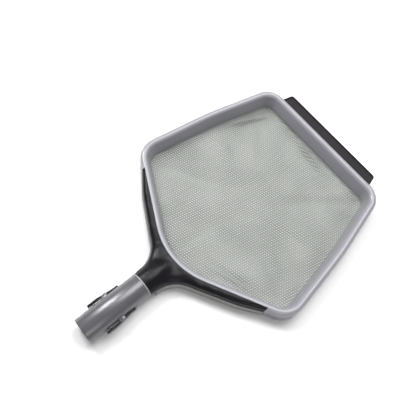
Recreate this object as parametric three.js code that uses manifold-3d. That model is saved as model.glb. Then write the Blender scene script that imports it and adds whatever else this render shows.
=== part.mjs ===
// Leaf skimmer net: a stiff tray-shaped frame with a net clamped under it, a soft blade along its
// leading edge, a two-shell yoke, and a tubular handle that takes a 1 1/4 inch pole and locks it
// with two spring levers.
//
// Millimetres, +Z up, +Y from the handle towards the leading edge. The group's origin lies under
// the middle of the whole object, on the surface it rests on. Inside it everything is placed from
// the middle of the frame's leading edge, level with the crest of the rim.

import * as THREE from 'three';
import { mergeVertices } from 'three/addons/utils/BufferGeometryUtils.js';
import Module from 'manifold-3d';

const wasm = await Module();
wasm.setup();

// ---------------------------------------------------------------- driving dimensions

const GAP = 0.3; // between pieces that touch
const PAST = 1; // how far a cutting solid runs past the face that it cuts
const FAR = 1000; // beyond the whole object on every side
const SEGMENTS = 7; // facets of a rounded corner or of a rounded edge's outline
const FACETS = 28; // facets of a large round part
const SMALL_FACETS = 10; // facets of screws, pins and their holes
const COIL_FACETS = 8; // steps in one turn of a spring
const WIRE_SEGMENTS = 3; // facets of its wire
const HEX_FACETS = 6;

const NOSE_HALF_WIDTH = 119; // leading corner, before it is rounded
const NOSE_RADIUS = 30;
const BOW_HALF_WIDTH = 146; // slight bend that bows each side outwards
const BOW_BACK = 110;
const BOW_RADIUS = 500;
const SIDE_HALF_WIDTH = 165.5; // side corner, the widest place, before it is rounded
const SIDE_BACK = 232;
const SIDE_RADIUS = 36;
const NEAR_SLOPE = THREE.MathUtils.degToRad(28); // near edges, falling towards the handle
const APEX_RADIUS = 110; // where the two near edges meet

const FRAME_DEPTH = 30;
const FRAME_WALL = 2.6;
const LIP_RADIUS = 5; // outer roll of the rim
const LIP_STEPS = 3;
const LIP_CHAMFER = 3.6; // inner roll of the rim
const LIP_INSET = 8.4; // where the inner roll ends on the inner wall
const NET_SEAT = 6.5; // from the frame's lower edge up to the net
const TRAY_INSET = 16; // from the outside of the rim to the edge of the visible net
const TRAY_LEAN = 8.366; // how far the inner wall leans out between the net and the crest
const CHANNEL_ROOF = 8; // solid plastic under the crest, above the channel

const NET_THICKNESS = 0.8;
const NET_MARGIN = 2.8; // of net held under the inner wall
const RING_SCREW_INSET = 9.4;
const RING_SCREW_COUNT = 12;
const RING_SCREW_LENGTH = 12;
const BOSS_RADIUS = 3;

const BLADE_HALF_WIDTH = 95; // where it leaves the frame
const BLADE_TAPER = 5; // each end is cut in by this much at the free edge
const BLADE_REACH = 20;
const BLADE_CORNER = 5;
const BLADE_THICKNESS = 2;
const BLADE_TOP = -8;
const BLADE_FLANGE = 16; // height of the part that lies on the frame's front wall
const RETAINER_HEIGHT = 10;
const RETAINER_THICKNESS = 2.5;
const RETAINER_MARGIN = 4;
const BLADE_SCREW_COUNT = 5;
const BLADE_SCREW_PITCH = 40;
const BLADE_SCREW_REACH = 7; // into the frame, behind its front face

const REBATE = 4; // step in the rim that the yoke's arms fill
const YOKE_TUCK = 24; // how far the yoke's outline runs on under the rim before it is cut to fit
const YOKE_OVERRUN = 18; // and past the tips of its arms
const ARM_REACH = 131;
const ARM_SLOPE = THREE.MathUtils.degToRad(31.5);
const ARM_BOW = 3.8; // how far each arm's outer edge bows out from a straight line
const ARM_BOW_PLACE = 102; // from the middle of the object to the fullest point of the bow
const ARM_BOW_RADIUS = 140;
const NECK_FILLET = 43;
const NECK_LENGTH = 34;
const YOKE_DROP = 1.2; // of the yoke's top below the crest
const YOKE_WALL = 3;
const YOKE_EDGE = 6; // rounding of its upper edge
const NECK_LAP = 8; // where the flat body takes over from the round neck
const HUMP_LENGTH = 27; // of the cone that blends the round neck into the flat top

const CENTRE_LUG = { x: 8, reach: 17, half: 14 };
const SIDE_LUG = { x: 46, reach: 8, half: 5 };
const LUG_HEIGHT = 7;
const YOKE_BOSS = 3.4;

const POLE_RADIUS = 15.875; // a 1 1/4 inch pole
const POLE_CLEARANCE = 0.325;
const HANDLE_WALL = 2.3;
const HANDLE_LENGTH = 97;
const POLE_DEPTH = 84;
const WEB = 4; // stop that the pole meets
const SPIGOT_LENGTH = 24;
const SPIGOT_WALL = 3;
const HANDLE_SCREWS = [10, 19]; // from the neck's joint into the spigot
const COLLAR_WIDTH = 1.4;
const HANDLE_EDGE = 0.8;

const LEVER_WIDTH = 8;
const LEVER_FROM_END = 48; // from the handle's open end to the pivot
const PAD_REACH = 25; // from the pivot to the end that is pressed
const NUB_REACH = 20; // from the pivot to the locking nub
const LEVER_THICKNESS = 2.8;
const PIVOT_PROUD = 1.3; // pivot axis outside the handle's surface
const BARREL_RADIUS = 2.2;
const BARREL_FROM = THREE.MathUtils.degToRad(110); // the stretch of it that faces the handle
const BARREL_TO = THREE.MathUtils.degToRad(235);
const PIN_RADIUS = 1.1;
const FLOOR_DEPTH = 1.3; // flat floor cut in the handle under the lever
const PAD_GAP = 3; // between that floor and the pad
const NUB_DEPTH = 1.9; // into the bore
const NUB_WIDTH = 4.5;
const NUB_TOE = 0.5; // bevel on its far edge
const NUB_RAMP = 1.5; // bevel on the edge that a pole meets first
const ARM_GAP = 0.45; // between the floor and the arm that carries the nub
const LEVER_ROUND = 0.8; // rounding of the pad's end
const LEVER_BOW = 0.6; // how far the pad swells beyond its end
const EAR = 2.2; // thickness of the lugs that hold the pin
const EAR_ROUND = 2;
const EAR_FOOT = 4.4; // how far a lug reaches inwards and spreads along the handle
const SPRING_RADIUS = 1.9;
const SPRING_WIRE = 0.25;
const SPRING_TURNS = 3;
const SPRING_BACK = 17; // from the pivot towards the pad's end

const SOCKET_WIDTH = 0.45; // of a screw's hex socket, as a share of its head's radius
const SOCKET_DEPTH = 0.6; // as a share of its head's height

const SCREWS = {
  ring: { shank: 1.4, head: 2.1, headHeight: 1.6 },
  blade: { shank: 1.5, head: 2.9, headHeight: 1.5 },
  yoke: { shank: 1.5, head: 2.7, headHeight: 1.8 },
};

// ---------------------------------------------------------------- derived places

const boreRadius = POLE_RADIUS + POLE_CLEARANCE;
const handleRadius = boreRadius + HANDLE_WALL;
const spigotRadius = handleRadius - YOKE_WALL;
const trayDepth = FRAME_DEPTH - NET_SEAT;
const traySlope = TRAY_LEAN / trayDepth;
const nearRise = Math.tan(NEAR_SLOPE);
const edgeAt = (x) => -(SIDE_BACK + (SIDE_HALF_WIDTH - x) * nearRise);
const apexY = edgeAt(0);
const tipY = edgeAt(ARM_REACH);
const armAt = (x) => tipY - (ARM_REACH - x) * Math.tan(ARM_SLOPE);
const neckY = armAt(handleRadius) - NECK_LENGTH;
const axisZ = handleRadius - FRAME_DEPTH;
const humpRadius = -YOKE_DROP - axisZ; // the cone ends level with the flat top
const apexArcY = apexY + APEX_RADIUS / Math.cos(NEAR_SLOPE);
const netTop = -trayDepth - GAP;
const ringTop = netTop - NET_THICKNESS - GAP;
const ringBottom = -FRAME_DEPTH + GAP;
const partingZ = axisZ;
const lugTop = partingZ - GAP - GAP;
const wallOutside = TRAY_INSET - FRAME_WALL - traySlope * FRAME_WALL;

// Starts in the middle of the leading edge, so that what is spread along it is symmetrical.
const frameCorners = [
  { x: 0, y: 0, radius: 0 },
  { x: -NOSE_HALF_WIDTH, y: 0, radius: NOSE_RADIUS },
  { x: -BOW_HALF_WIDTH, y: -BOW_BACK, radius: BOW_RADIUS },
  { x: -SIDE_HALF_WIDTH, y: -SIDE_BACK, radius: SIDE_RADIUS },
  { x: 0, y: apexY, radius: APEX_RADIUS },
  { x: SIDE_HALF_WIDTH, y: -SIDE_BACK, radius: SIDE_RADIUS },
  { x: BOW_HALF_WIDTH, y: -BOW_BACK, radius: BOW_RADIUS },
  { x: NOSE_HALF_WIDTH, y: 0, radius: NOSE_RADIUS },
];

// ---------------------------------------------------------------- solids

// A closed outline, counterclockwise, through rounded corners and moved inwards by `inset`.
// The arcs stay concentric as it moves; a corner whose radius is used up turns sharp.
function outline(corners, inset = 0) {
  const shape = new THREE.Shape();
  corners.forEach((corner, index) => {
    const before = corners.at(index - 1);
    const after = corners[(index + 1) % corners.length];
    const arrive = new THREE.Vector2(corner.x - before.x, corner.y - before.y).normalize();
    const leave = new THREE.Vector2(after.x - corner.x, after.y - corner.y).normalize();
    const turn = Math.atan2(arrive.cross(leave), arrive.dot(leave));
    const side = Math.sign(turn);
    const inward = new THREE.Vector2(-arrive.y, arrive.x);
    const halfTurn = Math.tan(Math.abs(turn) / 2);
    const radius = corner.radius - side * inset;
    if (corner.radius === 0 || radius <= 0) {
      const slide = side * inset * halfTurn;
      const x = corner.x + inward.x * inset - arrive.x * slide;
      const y = corner.y + inward.y * inset - arrive.y * slide;
      if (index === 0) shape.moveTo(x, y);
      else shape.lineTo(x, y);
      return;
    }
    const reach = corner.radius * halfTurn;
    const x = corner.x - arrive.x * reach + inward.x * side * corner.radius;
    const y = corner.y - arrive.y * reach + inward.y * side * corner.radius;
    const start = Math.atan2(-side * inward.y, -side * inward.x);
    if (index > 0) shape.lineTo(x + radius * Math.cos(start), y + radius * Math.sin(start));
    shape.absarc(x, y, radius, start, start + turn, turn < 0);
  });
  return shape;
}

function solidOf(geometry) {
  const bare = geometry.index ? geometry.toNonIndexed() : geometry.clone();
  bare.deleteAttribute('normal');
  bare.deleteAttribute('uv');
  const merged = mergeVertices(bare, 1e-4);
  const mesh = new wasm.Mesh({
    numProp: 3,
    vertProperties: new Float32Array(merged.attributes.position.array),
    triVerts: new Uint32Array(merged.index.array),
  });
  return new wasm.Manifold(mesh);
}

function geometryOf(solid) {
  const mesh = solid.getMesh();
  const geometry = new THREE.BufferGeometry();
  geometry.setAttribute('position', new THREE.BufferAttribute(mesh.vertProperties, 3));
  geometry.setIndex(new THREE.BufferAttribute(mesh.triVerts, 1));
  geometry.computeVertexNormals();
  return geometry;
}

// The outline between two heights, its walls upright.
function slab(shape, bottom, top) {
  const options = { depth: top - bottom, bevelEnabled: false, curveSegments: SEGMENTS };
  return solidOf(new THREE.ExtrudeGeometry(shape, options).translate(0, 0, bottom));
}

// The outline rising from `bottom`, growing by `growth` in `height`, then upright for `extra`.
function flared(shape, bottom, height, growth, extra) {
  const geometry = new THREE.ExtrudeGeometry(shape, {
    depth: extra,
    bevelThickness: height,
    bevelSize: growth,
    bevelSegments: 1,
    curveSegments: SEGMENTS,
  });
  return solidOf(geometry.translate(0, 0, bottom + height));
}

// The outline between two heights with its upper edge rounded; the outline is its widest place.
function crowned(shape, bottom, top, radius, steps) {
  const geometry = new THREE.ExtrudeGeometry(shape, {
    depth: top - bottom,
    bevelThickness: radius,
    bevelSize: radius,
    bevelOffset: -radius,
    bevelSegments: steps,
    curveSegments: SEGMENTS,
  });
  return solidOf(geometry.translate(0, 0, bottom - radius))
    .subtract(block(-FAR, FAR, -FAR, FAR, bottom - FAR, bottom));
}

function block(x0, x1, y0, y1, z0, z1) {
  const geometry = new THREE.BoxGeometry(x1 - x0, y1 - y0, z1 - z0);
  return solidOf(geometry.translate((x0 + x1) / 2, (y0 + y1) / 2, (z0 + z1) / 2));
}

function uprightRod(radius, x, y, z0, z1, facets = SMALL_FACETS) {
  const geometry = new THREE.CylinderGeometry(radius, radius, z1 - z0, facets);
  return solidOf(geometry.rotateX(Math.PI / 2).translate(x, y, (z0 + z1) / 2));
}

// A rod along Y from y0 to y1, tapering from one radius to the other.
function lengthRod(radius0, radius1, x, z, y0, y1, facets = FACETS) {
  const geometry = new THREE.CylinderGeometry(radius1, radius0, y1 - y0, facets);
  return solidOf(geometry.translate(x, (y0 + y1) / 2, z));
}

function union(solids) {
  return solids.reduce((whole, solid) => whole.add(solid));
}

const bothSides = (make) => union([make(1), make(-1)]);

const below = -FRAME_DEPTH - PAST;
const farNear = apexY - NECK_LENGTH * 2;

// Everything inside the frame's outer wall: the wall is `inset` thick all round, and behind the
// rebate of the yoke's arms it is set in by the rebate as well.
function insideWall(inset, bottom, top) {
  const nearBand = block(-ARM_REACH - inset, ARM_REACH + inset, farNear, tipY + REBATE * 2 + inset,
    bottom - PAST, top + PAST);
  const nearInside = slab(outline(frameCorners, REBATE + inset), bottom - PAST, top + PAST);
  return slab(outline(frameCorners, inset), bottom, top).subtract(nearBand.subtract(nearInside));
}

// The frame's own ground plan at the yoke, grown outwards by `growth`.
function frameGround(growth) {
  return slab(outline(frameCorners, REBATE - growth), below - PAST, handleRadius);
}

// Evenly spread points around the frame, the first half a space away from its middle line.
function ringScrewPlaces() {
  const path = outline(frameCorners, RING_SCREW_INSET);
  path.closePath();
  return path.getSpacedPoints(RING_SCREW_COUNT * 2).filter((_, index) => index % 2 === 1);
}

const bladeScrewXs = Array.from(
  { length: BLADE_SCREW_COUNT },
  (_, i) => (i - (BLADE_SCREW_COUNT - 1) / 2) * BLADE_SCREW_PITCH,
);
const retainerZ = BLADE_TOP - BLADE_THICKNESS - (BLADE_FLANGE - BLADE_THICKNESS) / 2;

const lugs = [
  { x: CENTRE_LUG.x, y: apexArcY - APEX_RADIUS + REBATE - CENTRE_LUG.reach + YOKE_BOSS * 2 },
  { x: SIDE_LUG.x, y: (armAt(SIDE_LUG.x) + edgeAt(SIDE_LUG.x) + REBATE) / 2 - GAP },
];
const spigotEnd = neckY + SPIGOT_LENGTH;
const handleScrewYs = HANDLE_SCREWS.map((reach) => neckY + reach);

// ---------------------------------------------------------------- frame and net

function rimFrame() {
  const tray = flared(outline(frameCorners, TRAY_INSET), -trayDepth - PAST,
    FRAME_DEPTH, FRAME_DEPTH * traySlope, PAST);
  const behindTray = flared(outline(frameCorners, wallOutside), -trayDepth - PAST,
    FRAME_DEPTH, FRAME_DEPTH * traySlope, PAST);
  const roll = flared(outline(frameCorners, LIP_INSET), -LIP_CHAMFER, LIP_CHAMFER * 2,
    LIP_CHAMFER * 2, PAST);
  const channel = insideWall(FRAME_WALL, -trayDepth - PAST, -CHANNEL_ROOF).subtract(behindTray);
  const seat = insideWall(FRAME_WALL, below, -trayDepth);
  const places = ringScrewPlaces();
  const bosses = union(places.map((p) => uprightRod(BOSS_RADIUS, p.x, p.y,
    -trayDepth, -LIP_RADIUS)));
  const bladeBosses = union(bladeScrewXs.map((x) => lengthRod(BOSS_RADIUS, BOSS_RADIUS, x, retainerZ,
    -BLADE_SCREW_REACH - PAST, -FRAME_WALL / 2, SMALL_FACETS)));
  const pilots = union(places.map((p) => uprightRod(SCREWS.ring.shank + GAP, p.x, p.y,
    below, ringBottom + RING_SCREW_LENGTH + GAP)));
  const bladePilots = union(bladeScrewXs.map((x) => lengthRod(SCREWS.blade.shank + GAP,
    SCREWS.blade.shank + GAP, x, retainerZ, -BLADE_SCREW_REACH - GAP, PAST, SMALL_FACETS)));
  const rebate = block(-ARM_REACH - GAP, ARM_REACH + GAP, farNear, tipY + REBATE * 2, below, PAST)
    .subtract(frameGround(0));
  return crowned(outline(frameCorners), -FRAME_DEPTH, 0, LIP_RADIUS, LIP_STEPS)
    .subtract(channel)
    .subtract(seat)
    .add(bosses)
    .add(bladeBosses)
    .subtract(tray)
    .subtract(roll)
    .subtract(rebate)
    .add(frameLugs(0, lugTop - LUG_HEIGHT, lugTop).subtract(slab(outline(frameCorners, REBATE + PAST),
      below, PAST)))
    .subtract(union([pilots, bladePilots, lugHoles(SCREWS.yoke.shank + GAP)]));
}

// The tongues that reach from the frame's near wall into the yoke, or their clearance.
function frameLugs(clearance, bottom, top) {
  const centre = lugs[0];
  const outer = lugs[1];
  const centreHalf = CENTRE_LUG.half + clearance;
  const sideHalf = SIDE_LUG.half + clearance;
  const centreEnd = centre.y - YOKE_BOSS - clearance;
  const sideEnd = outer.y - SIDE_LUG.reach / 2 - clearance;
  const middle = block(-centreHalf, centreHalf, centreEnd, centre.y + CENTRE_LUG.reach * 2,
    bottom, top);
  const side = (s) => block(s * outer.x - sideHalf, s * outer.x + sideHalf, sideEnd,
    outer.y + SIDE_LUG.reach * 2, bottom, top);
  return middle.add(bothSides(side));
}

function lugHoles(radius) {
  return union(lugs.map((lug) => bothSides((s) => uprightRod(radius, s * lug.x, lug.y,
    below, partingZ))));
}

function clampRing() {
  const opening = slab(outline(frameCorners, TRAY_INSET), below, ringTop + PAST);
  const screw = SCREWS.ring;
  const holes = ringScrewPlaces().flatMap((p) => [
    uprightRod(screw.shank + GAP, p.x, p.y, below, ringTop + PAST),
    uprightRod(screw.head + GAP, p.x, p.y, below, ringBottom + screw.headHeight + GAP),
  ]);
  return insideWall(FRAME_WALL + GAP, ringBottom, ringTop).subtract(opening).subtract(union(holes));
}

function net() {
  return slab(outline(frameCorners, TRAY_INSET - NET_MARGIN), netTop - NET_THICKNESS, netTop);
}

// ---------------------------------------------------------------- blade

function bladeHoles() {
  const radius = SCREWS.blade.shank + GAP;
  return union(bladeScrewXs.map((x) => lengthRod(radius, radius, x, retainerZ,
    -PAST, BLADE_REACH, SMALL_FACETS)));
}

function frontBlade() {
  const half = BLADE_HALF_WIDTH;
  const plan = outline([
    { x: -half, y: GAP, radius: 0 },
    { x: half, y: GAP, radius: 0 },
    { x: half - BLADE_TAPER, y: BLADE_REACH, radius: BLADE_CORNER },
    { x: -half + BLADE_TAPER, y: BLADE_REACH, radius: BLADE_CORNER },
  ]);
  const flange = block(-half, half, GAP, GAP + BLADE_THICKNESS, BLADE_TOP - BLADE_FLANGE, BLADE_TOP);
  return slab(plan, BLADE_TOP - BLADE_THICKNESS, BLADE_TOP)
    .add(flange)
    .subtract(bladeHoles());
}

function bladeRetainer() {
  const half = BLADE_HALF_WIDTH - RETAINER_MARGIN;
  const back = BLADE_THICKNESS + GAP * 2;
  return block(-half, half, back, back + RETAINER_THICKNESS,
    retainerZ - RETAINER_HEIGHT / 2, retainerZ + RETAINER_HEIGHT / 2)
    .subtract(bladeHoles());
}

// ---------------------------------------------------------------- yoke

// Ground plan of the yoke before the frame and its two ends are cut away.
function yokePlan(inset) {
  const beyond = ARM_REACH + YOKE_OVERRUN;
  const bowY = armAt(ARM_BOW_PLACE) - ARM_BOW;
  const tipRise = (tipY - bowY) / (ARM_REACH - ARM_BOW_PLACE);
  const beyondY = tipY + YOKE_OVERRUN * tipRise;
  const innerY = apexArcY - APEX_RADIUS + YOKE_TUCK;
  return outline([
    { x: -handleRadius, y: farNear, radius: 0 },
    { x: handleRadius, y: farNear, radius: 0 },
    { x: handleRadius, y: armAt(handleRadius), radius: NECK_FILLET },
    { x: ARM_BOW_PLACE, y: bowY, radius: ARM_BOW_RADIUS },
    { x: beyond, y: beyondY, radius: 0 },
    { x: beyond, y: beyondY + YOKE_TUCK, radius: 0 },
    { x: 0, y: innerY, radius: 0 },
    { x: -beyond, y: beyondY + YOKE_TUCK, radius: 0 },
    { x: -beyond, y: beyondY, radius: 0 },
    { x: -ARM_BOW_PLACE, y: bowY, radius: ARM_BOW_RADIUS },
    { x: -handleRadius, y: armAt(handleRadius), radius: NECK_FILLET },
  ], inset);
}

// The space that the yoke's flat body may fill: behind its arm tips and ahead of its round neck.
function yokeZone(bottom, top) {
  return block(-ARM_REACH, ARM_REACH, neckY + NECK_LAP, 0, bottom, top);
}

function yokePocket(bottom, top) {
  const wall = YOKE_WALL;
  const keep = lengthRod(handleRadius, handleRadius, 0, axisZ, farNear, spigotEnd + wall);
  return slab(yokePlan(wall), bottom, top)
    .intersect(block(-ARM_REACH + wall, ARM_REACH - wall, neckY, 0, bottom, top))
    .subtract(frameGround(GAP + wall))
    .subtract(keep);
}

// The round neck and the cone that sinks into the yoke's flat top, thinner by `inset`.
function neck(inset = 0) {
  const radius = handleRadius - inset;
  const coneStart = spigotEnd + YOKE_WALL;
  const hump = lengthRod(radius, humpRadius - inset, 0, axisZ, coneStart, coneStart + HUMP_LENGTH);
  return inset > 0 ? hump : hump.add(lengthRod(radius, radius, 0, axisZ, neckY, coneStart));
}

function spigotBore() {
  const radius = spigotRadius + GAP;
  return lengthRod(radius, radius, 0, axisZ, neckY - PAST, spigotEnd + GAP);
}

function yokeTop() {
  const top = -YOKE_DROP;
  const body = crowned(yokePlan(0), partingZ, top, YOKE_EDGE, LIP_STEPS)
    .intersect(yokeZone(partingZ, top + PAST))
    .subtract(yokePocket(partingZ - PAST, top - YOKE_WALL));
  const bosses = union(lugs.map((lug) => bothSides((s) => uprightRod(YOKE_BOSS, s * lug.x, lug.y,
    partingZ, top - YOKE_WALL / 2))));
  const pilots = union(lugs.map((lug) => bothSides((s) => uprightRod(SCREWS.yoke.shank + GAP,
    s * lug.x, lug.y, partingZ - PAST, top - YOKE_WALL))));
  const upper = block(-ARM_REACH, ARM_REACH, farNear, 0, partingZ, handleRadius);
  return body
    .add(neck().intersect(upper))
    .subtract(neck(YOKE_WALL))
    .add(bosses)
    .subtract(union([frameGround(GAP), spigotBore(), pilots]));
}

function yokeBase() {
  const top = partingZ - GAP;
  const floor = -FRAME_DEPTH + YOKE_WALL;
  const screw = SCREWS.yoke;
  const body = slab(yokePlan(0), -FRAME_DEPTH, top)
    .intersect(yokeZone(-FRAME_DEPTH, top))
    .subtract(yokePocket(floor, top + PAST));
  const lower = block(-ARM_REACH, ARM_REACH, farNear, 0, -FRAME_DEPTH, top);
  const bosses = union(lugs.map((lug) => bothSides((s) => uprightRod(YOKE_BOSS, s * lug.x, lug.y,
    -FRAME_DEPTH, lugTop - LUG_HEIGHT - GAP))));
  const holes = lugs.flatMap((lug) => [1, -1].flatMap((s) => [
    uprightRod(screw.shank + GAP, s * lug.x, lug.y, below, top + PAST),
    uprightRod(screw.head + GAP, s * lug.x, lug.y, below, -FRAME_DEPTH + screw.headHeight + GAP),
  ]));
  const handleHoles = handleScrewYs.flatMap((y) => [
    uprightRod(screw.shank + GAP, 0, y, below, axisZ),
    uprightRod(screw.head + GAP, 0, y, below, -FRAME_DEPTH + screw.headHeight + GAP),
  ]);
  return body
    .add(neck().intersect(lower))
    .subtract(neck(YOKE_WALL))
    .add(bosses)
    .subtract(union([frameGround(GAP), spigotBore(), ...holes, ...handleHoles]))
    .subtract(frameLugs(GAP, lugTop - LUG_HEIGHT - GAP, top + PAST));
}

// ---------------------------------------------------------------- handle, in its own frame
// Origin on the tube's axis at the neck, +Y towards the net.

const tubeFront = -COLLAR_WIDTH - GAP * 2;
const tubeEnd = -HANDLE_LENGTH;
const pivotY = tubeEnd + LEVER_FROM_END;
const floorX = handleRadius - FLOOR_DEPTH;
const pivotX = handleRadius + PIVOT_PROUD;

function revolved(profile, facets = FACETS) {
  const points = profile.map(([radius, y]) => new THREE.Vector2(radius, y));
  return new THREE.LatheGeometry([...points, points[0]], facets);
}

function handleTube() {
  const spigotTip = SPIGOT_LENGTH;
  const webBack = tubeEnd + POLE_DEPTH;
  const tube = solidOf(revolved([
    [0, webBack],
    [boreRadius, webBack],
    [boreRadius, tubeEnd],
    [handleRadius - HANDLE_EDGE, tubeEnd],
    [handleRadius, tubeEnd + HANDLE_EDGE],
    [handleRadius, tubeFront],
    [spigotRadius, tubeFront],
    [spigotRadius, spigotTip],
    [spigotRadius - SPIGOT_WALL, spigotTip],
    [spigotRadius - SPIGOT_WALL, webBack + WEB],
    [0, webBack + WEB],
  ]));
  const ears = bothSides((s) => bothSides((t) => leverEar(s, t)));
  const recesses = bothSides((s) => leverRecess(s));
  const pinHoles = bothSides((s) => uprightRod(PIN_RADIUS + GAP, s * pivotX, pivotY,
    -handleRadius, handleRadius));
  const screwHoles = union(handleScrewYs.map((y) => uprightRod(SCREWS.yoke.shank + GAP, 0, y - neckY,
    -handleRadius, 0)));
  return tube.add(ears).subtract(union([recesses, pinHoles, screwHoles]));
}

// One of the two lugs on a side that the lever's pin passes through.
function leverEar(s, t) {
  const inner = LEVER_WIDTH / 2 + GAP;
  const plate = outline([
    { x: -EAR_FOOT, y: -EAR_FOOT, radius: 0 },
    { x: PIVOT_PROUD + BARREL_RADIUS, y: -BARREL_RADIUS, radius: EAR_ROUND },
    { x: PIVOT_PROUD + BARREL_RADIUS, y: BARREL_RADIUS, radius: EAR_ROUND },
    { x: -EAR_FOOT, y: EAR_FOOT, radius: 0 },
  ]);
  const options = { depth: EAR, bevelEnabled: false, curveSegments: SEGMENTS };
  const geometry = new THREE.ExtrudeGeometry(plate, options);
  geometry.translate(handleRadius, pivotY, t > 0 ? inner : -inner - EAR);
  if (s < 0) geometry.rotateY(Math.PI);
  return solidOf(geometry).subtract(lengthRod(boreRadius + PAST, boreRadius + PAST, 0, 0,
    tubeEnd, tubeFront));
}

// Flat floor under the lever, and the window that the nub drops through.
function leverRecess(s) {
  const half = LEVER_WIDTH / 2 + GAP;
  const nubY = pivotY + NUB_REACH;
  const nubHalf = NUB_WIDTH / 2 + PAST;
  const floor = block(floorX, FAR, pivotY - PAD_REACH - PAST, nubY + NUB_WIDTH, -half, half);
  const window = block(0, handleRadius, nubY - nubHalf, nubY + nubHalf, -half, half);
  const cut = floor.add(window);
  return s > 0 ? cut : cut.rotate([0, 180, 0]);
}

// The collar that closes the joint between handle and yoke.
function neckCollar() {
  return revolved([
    [spigotRadius + GAP, -GAP - COLLAR_WIDTH],
    [handleRadius, -GAP - COLLAR_WIDTH],
    [handleRadius, -GAP],
    [spigotRadius + GAP, -GAP],
  ]);
}

// Side view of a lever, about its pivot: +X outwards from the handle, +Y towards the net.
function lever() {
  const padInner = floorX + PAD_GAP - pivotX;
  const padOuter = padInner + LEVER_THICKNESS;
  const armInner = floorX + ARM_GAP - pivotX;
  const armOuter = armInner + LEVER_THICKNESS;
  const nubInner = boreRadius - NUB_DEPTH - pivotX;
  const tip = NUB_REACH + NUB_WIDTH / 2;
  const heel = tip - NUB_WIDTH;
  const plan = new THREE.Shape();
  plan.moveTo(padInner, -PAD_REACH);
  plan.lineTo(padOuter - LEVER_ROUND, -PAD_REACH);
  plan.quadraticCurveTo(padOuter, -PAD_REACH, padOuter, -PAD_REACH + LEVER_ROUND * 2);
  plan.quadraticCurveTo(padOuter + LEVER_BOW, -PAD_REACH / 2, BARREL_RADIUS, 0);
  plan.quadraticCurveTo(BARREL_RADIUS - LEVER_ROUND, NUB_REACH / 2, armOuter, tip - LEVER_ROUND);
  plan.lineTo(armOuter - LEVER_ROUND, tip);
  plan.lineTo(nubInner + NUB_TOE, tip);
  plan.lineTo(nubInner, tip - NUB_TOE);
  plan.lineTo(nubInner, heel + NUB_RAMP);
  plan.lineTo(nubInner + NUB_RAMP, heel);
  plan.lineTo(armInner, heel);
  plan.lineTo(armInner, BARREL_RADIUS);
  plan.absarc(0, 0, BARREL_RADIUS, BARREL_FROM, BARREL_TO, false);
  plan.lineTo(padInner, -BARREL_RADIUS * 2);
  const options = { depth: LEVER_WIDTH, bevelEnabled: false, curveSegments: SEGMENTS };
  const body = new THREE.ExtrudeGeometry(plan, options).translate(0, 0, -LEVER_WIDTH / 2);
  return solidOf(body).subtract(uprightRod(PIN_RADIUS + GAP, 0, 0, -LEVER_WIDTH, LEVER_WIDTH));
}

// A pin along Z with its middle at the origin.
function leverPin() {
  const length = LEVER_WIDTH + EAR * 2 + GAP * 2;
  return new THREE.CylinderGeometry(PIN_RADIUS, PIN_RADIUS, length, SMALL_FACETS)
    .rotateX(Math.PI / 2);
}

// A small coil standing along +X between the floor of the recess and the pad.
function leverSpring() {
  const height = PAD_GAP - GAP * 2 - SPRING_WIRE * 2;
  class Coil extends THREE.Curve {
    getPoint(t, target = new THREE.Vector3()) {
      const angle = t * SPRING_TURNS * Math.PI * 2;
      return target.set(height * t, SPRING_RADIUS * Math.cos(angle), SPRING_RADIUS * Math.sin(angle));
    }
  }
  const section = new THREE.Shape().absarc(0, 0, SPRING_WIRE, 0, Math.PI * 2, false);
  const geometry = new THREE.ExtrudeGeometry(section, {
    steps: SPRING_TURNS * COIL_FACETS,
    curveSegments: WIRE_SEGMENTS,
    extrudePath: new Coil(),
  });
  return geometry.translate(GAP + SPRING_WIRE, 0, 0);
}

// ---------------------------------------------------------------- screws

// Head down at the origin, shank along +Z, the drive a hex socket in the head.
function screw(kind, length) {
  const profile = [
    [0, 0],
    [kind.head, 0],
    [kind.head, kind.headHeight],
    [kind.shank, kind.headHeight],
    [kind.shank, length - kind.shank],
    [0, length],
  ];
  const body = solidOf(revolved(profile, SMALL_FACETS).rotateX(Math.PI / 2));
  const socket = uprightRod(kind.head * SOCKET_WIDTH, 0, 0, -PAST, kind.headHeight * SOCKET_DEPTH,
    HEX_FACETS);
  return body.subtract(socket);
}

// ---------------------------------------------------------------- assembly

const GREY = { color: 0x8e8e96, roughness: 0.42, metalness: 0 };
const HANDLE_GREY = { color: 0x919194, roughness: 0.35, metalness: 0 };
const BLACK = { color: 0x1e1c20, roughness: 0.4, metalness: 0 };
const CHARCOAL = { color: 0x4a4a48, roughness: 0.5, metalness: 0 };
const RUBBER = { color: 0x2e2c2f, roughness: 0.7, metalness: 0 };
const NETTING = { color: 0xc4cac6, roughness: 0.8, metalness: 0 };
const PALE = { color: 0xd2d2d0, roughness: 0.4, metalness: 0 };
const STEEL = { color: 0xb8b8ba, roughness: 0.3, metalness: 1 };

function piece(name, shape, look) {
  const geometry = shape.isBufferGeometry ? shape : geometryOf(shape);
  const mesh = new THREE.Mesh(geometry, new THREE.MeshStandardMaterial(look));
  mesh.name = name;
  return mesh;
}

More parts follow.
